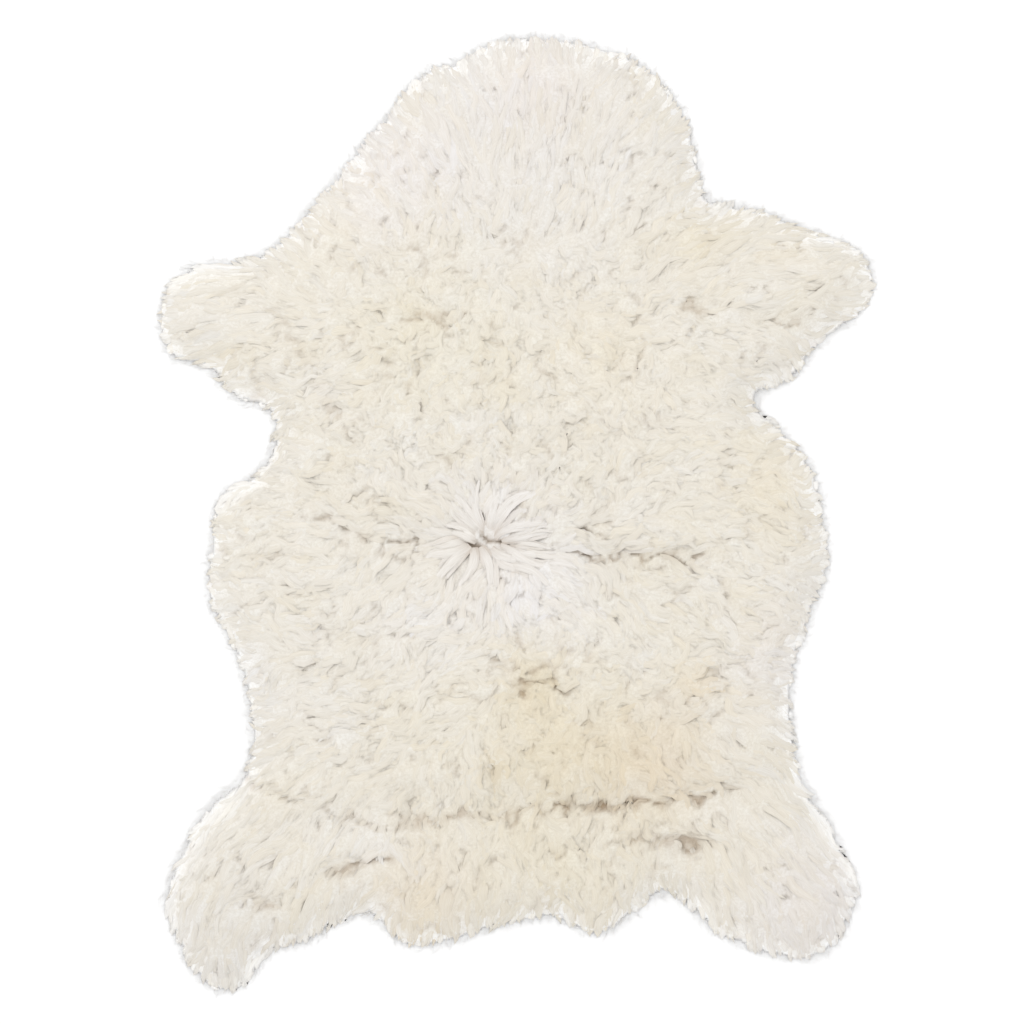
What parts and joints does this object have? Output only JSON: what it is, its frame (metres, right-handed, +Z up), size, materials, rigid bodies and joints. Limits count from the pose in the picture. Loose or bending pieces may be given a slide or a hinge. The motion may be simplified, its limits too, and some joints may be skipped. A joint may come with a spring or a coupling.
{
  "type": "sheepskin rug",
  "caption": "Whole natural sheepskin rug lying flat, wool side up, with the hide's own outline of neck, legs and rump.",
  "frame": {"origin": "middle of the pelt's box, on the floor", "axes": "+Y towards the neck, +X towards the right as seen from above, +Z up out of the wool"},
  "size_m": [0.7252, 0.9676, 0.0443],
  "materials": {
    "wool": "undyed ivory wool, matt and fleecy"
  },
  "bodies": {
    "root": {"sheepskin": "wool"}
  },
  "joints": []
}
